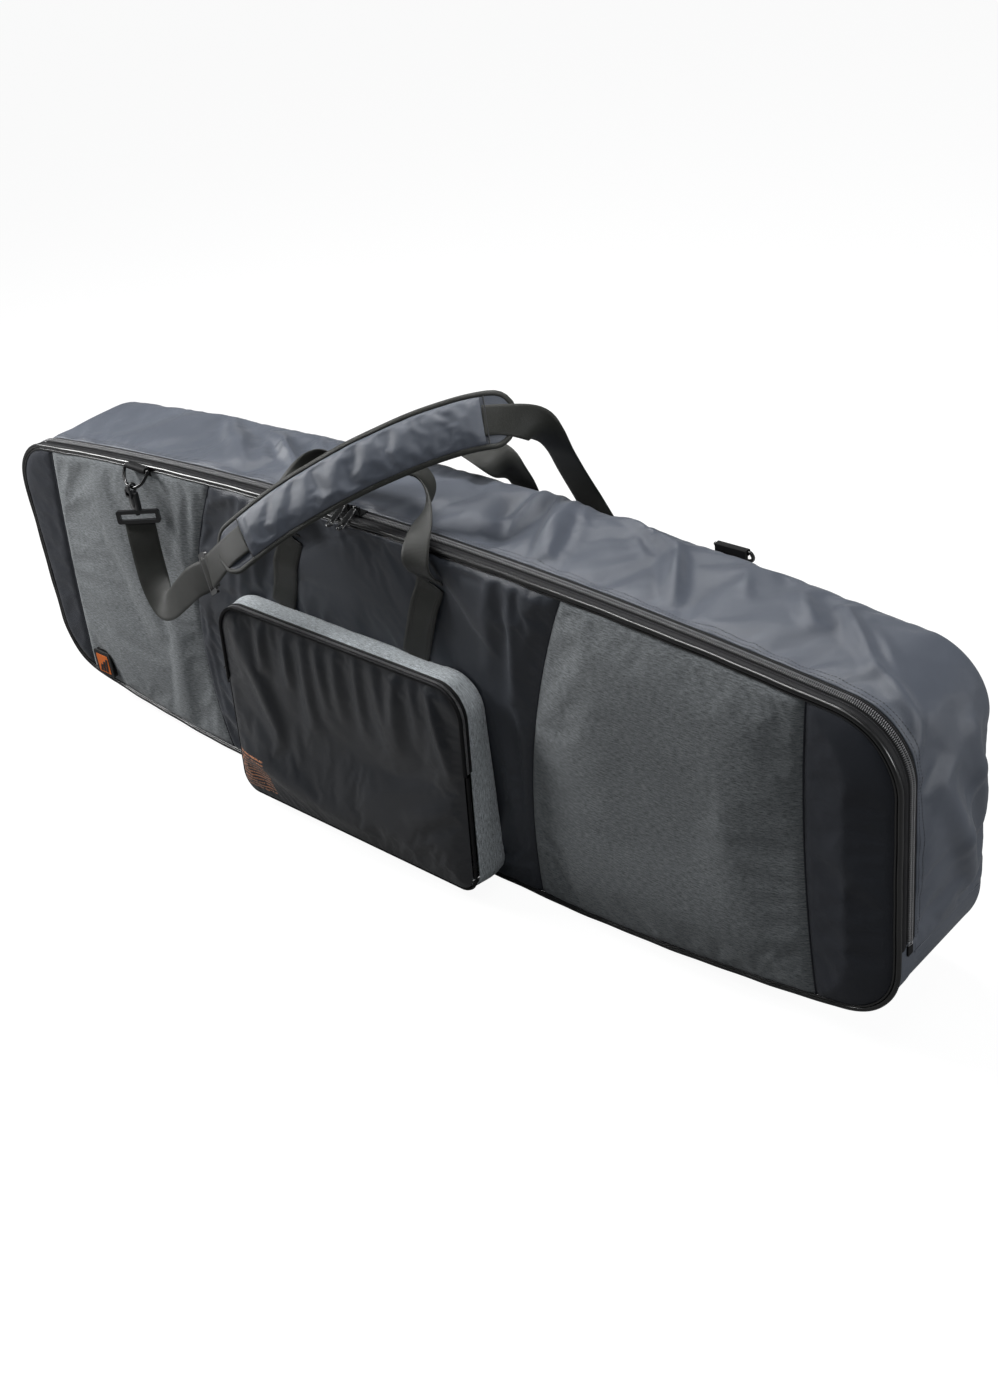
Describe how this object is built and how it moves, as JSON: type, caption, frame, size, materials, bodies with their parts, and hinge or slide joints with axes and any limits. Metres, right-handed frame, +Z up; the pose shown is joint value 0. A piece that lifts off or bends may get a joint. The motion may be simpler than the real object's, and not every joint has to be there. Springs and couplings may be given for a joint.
{
  "type": "snowboard bag",
  "caption": "Long padded board bag with a zip-open lid, front pocket, grab handles and a clip-on shoulder strap with a padded sleeve.",
  "frame": {"origin": "middle of the flat part of the base, on the face that the bag stands on", "axes": "+X along the bag's length, +Y from the lid to the back, +Z up as the bag stands on its long edge"},
  "size_m": [1.65, 0.3668, 0.678],
  "materials": {
    "navy_fabric": "woven",
    "dark_fabric": "woven",
    "heather_fabric": "heathered weave",
    "pocket_fabric": "coated weave with a soft sheen",
    "lining": "woven",
    "foam": "covered foam",
    "piping": "glossy",
    "zip_tape": "woven",
    "zip_chain": "satin coil",
    "zip_metal": "glossy black enamel",
    "webbing": "ribbed webbing",
    "hardware": "moulded",
    "patch": "soft",
    "pad_fabric": "woven"
  },
  "bodies": {
    "shell": {"gusset_wall": "navy_fabric", "base_panel": "navy_fabric", "back_panel": "navy_fabric", "back_foam": "lining", "zip_tape_shell": "zip_tape", "zip_chain_shell": "zip_chain", "zip_stop_left": "webbing", "zip_stop_right": "webbing", "rear_anchor_left": "webbing", "rear_anchor_right": "webbing", "rear_ring_tab": "webbing", "rear_ring": "hardware", "rear_hook": "hardware", "strap_rear_web": "webbing"},
    "lid": {"lid_left_end": "dark_fabric", "lid_left_grey": "heather_fabric", "lid_centre": "navy_fabric", "lid_right_grey": "heather_fabric", "lid_right_end": "dark_fabric", "lid_lining": "lining", "lid_edge_strip": "zip_tape", "zip_tape_lid": "zip_tape", "zip_chain_lid": "zip_chain", "lid_piping": "piping", "lid_patch": "patch", "pocket_wall": "heather_fabric", "pocket_lower_face": "pocket_fabric", "pocket_zip_lid": "zip_chain", "front_anchor_left": "webbing", "front_anchor_right": "webbing", "front_ring_tab": "webbing", "front_ring": "hardware", "front_hook": "hardware", "strap_front_web": "webbing", "shoulder_pad": "pad_fabric", "tri_glide": "hardware"},
    "zip_slider_left": {"zip_slider_left": "zip_metal"},
    "zip_slider_right": {"zip_slider_right": "zip_metal"},
    "zip_pull_left": {"zip_pull_left": "zip_metal"},
    "zip_pull_right": {"zip_pull_right": "zip_metal"},
    "pocket_flap": {"pocket_flap": "pocket_fabric", "pocket_zip_flap": "zip_chain"},
    "pocket_slider": {"pocket_slider": "zip_metal"},
    "pocket_pull": {"pocket_pull": "zip_metal"},
    "front_handle": {"front_handle": "webbing"},
    "rear_handle": {"rear_handle": "webbing"},
    "front_hook_loop": {"front_hook_loop": "hardware"},
    "front_hook_gate": {"front_hook_gate": "hardware"},
    "rear_hook_loop": {"rear_hook_loop": "hardware"},
    "rear_hook_gate": {"rear_hook_gate": "hardware"}
  },
  "joints": [
    {"name": "lid_hinge", "type": "hinge", "parent": "shell", "child": "lid", "pos_m": [0, -0.105, 0], "axis": [1, 0, 0], "range_deg": [0, 90], "deforming": ["strap_front_web", "shoulder_pad", "strap_rear_web"]},
    {"name": "main_zip_left", "type": "hinge", "parent": "shell", "child": "zip_slider_left", "pos_m": [0, -0.078, -6.18], "axis": [0, 1, 0], "range_deg": [-0.4, 0]},
    {"name": "main_zip_right", "type": "hinge", "parent": "shell", "child": "zip_slider_right", "pos_m": [0, -0.078, -6.18], "axis": [0, 1, 0], "range_deg": [0, 0.8]},
    {"name": "pull_left_swing", "type": "hinge", "parent": "zip_slider_left", "child": "zip_pull_left", "pos_m": [-0.03706, -0.0852, 0.5302], "axis": [1, 0, 0], "range_deg": [-35, 0]},
    {"name": "pull_right_swing", "type": "hinge", "parent": "zip_slider_right", "child": "zip_pull_right", "pos_m": [-0.01603, -0.0852, 0.53028], "axis": [1, 0, 0], "range_deg": [-35, 0]},
    {"name": "pocket_flap_hinge", "type": "hinge", "parent": "lid", "child": "pocket_flap", "pos_m": [0, -0.15886, 0.215], "axis": [1, 0, 0], "range_deg": [0, 80]},
    {"name": "pocket_zip", "type": "slide", "parent": "lid", "child": "pocket_slider", "axis": [0, 0.069, 0.9976], "range_m": [0, 0.05]},
    {"name": "pocket_pull_swing", "type": "hinge", "parent": "pocket_slider", "child": "pocket_pull", "pos_m": [-0.2949, -0.15174, 0.22734], "axis": [0, 0.9976, -0.069], "range_deg": [0, 110]},
    {"name": "front_handle_swing", "type": "hinge", "parent": "lid", "child": "front_handle", "pos_m": [-0.0055, -0.1063, 0.466], "axis": [1, 0, 0], "range_deg": [0, 100]},
    {"name": "rear_handle_swing", "type": "hinge", "parent": "shell", "child": "rear_handle", "pos_m": [-0.0055, 0.1063, 0.466], "axis": [1, 0, 0], "range_deg": [-100, 0]},
    {"name": "front_loop_swivel", "type": "hinge", "parent": "lid", "child": "front_hook_loop", "pos_m": [-0.47, -0.129, 0.43748], "axis": [0, 0, 1], "range_deg": [-70, 0]},
    {"name": "front_gate", "type": "hinge", "parent": "lid", "child": "front_hook_gate", "pos_m": [-0.47, -0.136, 0.47208], "axis": [1, 0, 0], "range_deg": [-6, 0], "stiffness_Nm_per_rad": 0.02, "springref_deg": 5.73},
    {"name": "rear_loop_swivel", "type": "hinge", "parent": "shell", "child": "rear_hook_loop", "pos_m": [0.457, 0.129, 0.43748], "axis": [0, 0, 1], "range_deg": [-35, 35]},
    {"name": "rear_gate", "type": "hinge", "parent": "shell", "child": "rear_hook_gate", "pos_m": [0.457, 0.136, 0.47208], "axis": [1, 0, 0], "range_deg": [0, 6], "stiffness_Nm_per_rad": 0.02, "springref_deg": -5.73}
  ]
}
